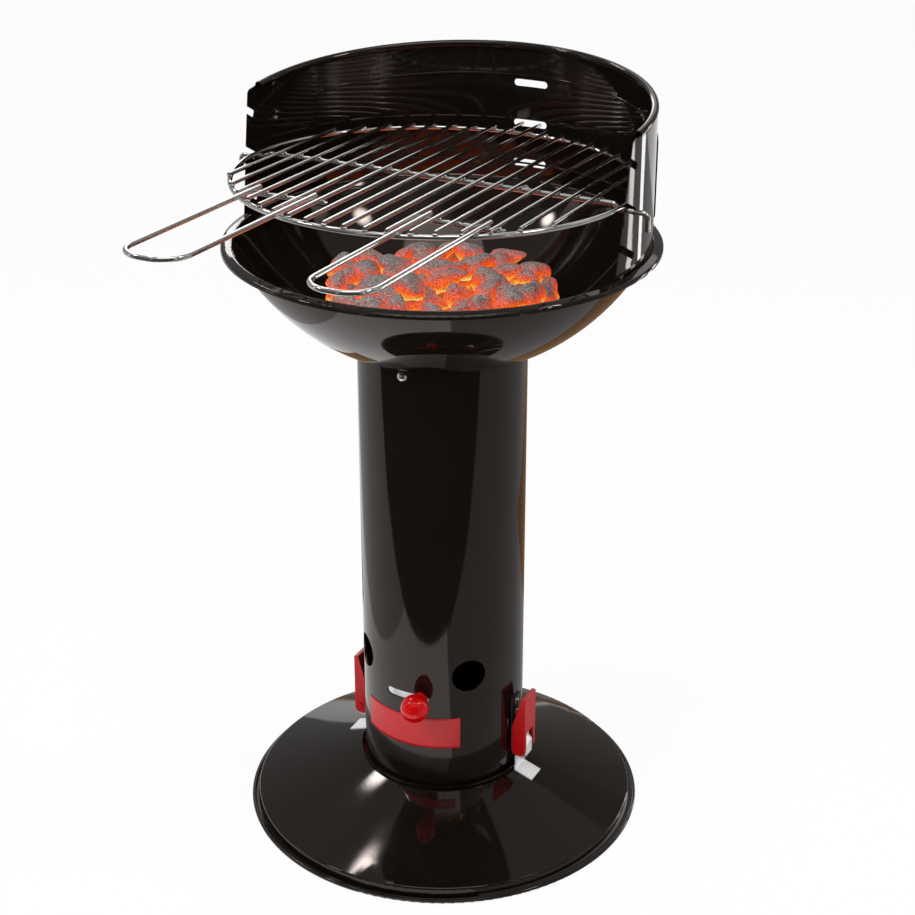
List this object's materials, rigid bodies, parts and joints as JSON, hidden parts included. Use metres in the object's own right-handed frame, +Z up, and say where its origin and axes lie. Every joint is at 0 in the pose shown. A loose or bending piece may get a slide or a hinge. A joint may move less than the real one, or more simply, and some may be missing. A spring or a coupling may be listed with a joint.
{
  "type": "charcoal grill",
  "caption": "Pedestal charcoal grill: round bowl on an air-fed pillar, notched windshield, lift-out wire cooking grid with handles, damper knob and latched base.",
  "frame": {"origin": "on the floor, on the pillar's axis", "axes": "+Z up along the pillar, -Y to the front where the damper knob and the grid handles are, +X to the right seen from the front"},
  "size_m": [0.447, 0.5927, 0.7982],
  "materials": {
    "black_enamel": "gloss vitreous enamel",
    "black_paint": "satin",
    "red_paint": "gloss",
    "red_plastic": "gloss",
    "plated_steel": "bright plated",
    "chrome_wire": "bright plated wire",
    "galvanised": "zinc plated",
    "bare_wire": "heat darkened",
    "charcoal": "burning charcoal with ash"
  },
  "bodies": {
    "stand": {"base_plate": "black_enamel", "ash_basin": "black_enamel", "keeper_left": "plated_steel", "keeper_right": "plated_steel", "pillar_tube": "black_enamel", "latch_bracket_left": "black_paint", "latch_bracket_right": "black_paint", "bracket_rivets": "plated_steel", "latch_pivots": "plated_steel", "bowl": "black_enamel", "bowl_bolts": "plated_steel", "bowl_nuts": "plated_steel", "windshield": "black_enamel", "windshield_bolts": "plated_steel", "windshield_nuts": "plated_steel"},
    "damper": {"damper_ring": "galvanised", "damper_knob": "red_plastic", "damper_screw": "plated_steel", "damper_nut": "plated_steel"},
    "lever_left": {"latch_lever_left": "red_paint", "bail_pin_left": "plated_steel"},
    "lever_right": {"latch_lever_right": "red_paint", "bail_pin_right": "plated_steel"},
    "bail_left": {"latch_bail_left": "plated_steel"},
    "bail_right": {"latch_bail_right": "plated_steel"},
    "cooking_grid": {"grid_ring": "chrome_wire", "grid_bars": "chrome_wire", "grid_cross_wire": "chrome_wire", "grid_stub_wires": "chrome_wire", "grid_handle_left": "chrome_wire", "grid_handle_right": "chrome_wire"},
    "coal_grate": {"charcoal_grate": "bare_wire", "charcoal": "charcoal"}
  },
  "joints": [
    {"name": "damper_turn", "type": "hinge", "parent": "stand", "child": "damper", "pos_m": [0, 0, 0.1657], "axis": [0, 0, 1], "range_deg": [-24, 3]},
    {"name": "lever_left_open", "type": "hinge", "parent": "stand", "child": "lever_left", "pos_m": [-0.0987, 0, 0.085], "axis": [0, -1, 0], "range_deg": [0, 90]},
    {"name": "lever_right_open", "type": "hinge", "parent": "stand", "child": "lever_right", "pos_m": [0.0987, 0, 0.085], "axis": [0, 1, 0], "range_deg": [0, 90]},
    {"name": "bail_left_swing", "type": "hinge", "parent": "lever_left", "child": "bail_left", "pos_m": [-0.0977, 0, 0.095], "axis": [0, -1, 0], "range_deg": [-90, 0]},
    {"name": "bail_right_swing", "type": "hinge", "parent": "lever_right", "child": "bail_right", "pos_m": [0.0977, 0, 0.095], "axis": [0, 1, 0], "range_deg": [-90, 0]},
    {"name": "grid_lift", "type": "slide", "parent": "stand", "child": "cooking_grid", "axis": [0, -0.8746, 0.4848], "range_m": [0, 0.25]},
    {"name": "grate_lift", "type": "slide", "parent": "stand", "child": "coal_grate", "axis": [0, 0, 1], "range_m": [0, 0.045]}
  ],
  "couplings": [
    {"joint": "bail_left_swing", "follows": "lever_left_open", "ratio": -1},
    {"joint": "bail_right_swing", "follows": "lever_right_open", "ratio": -1}
  ]
}
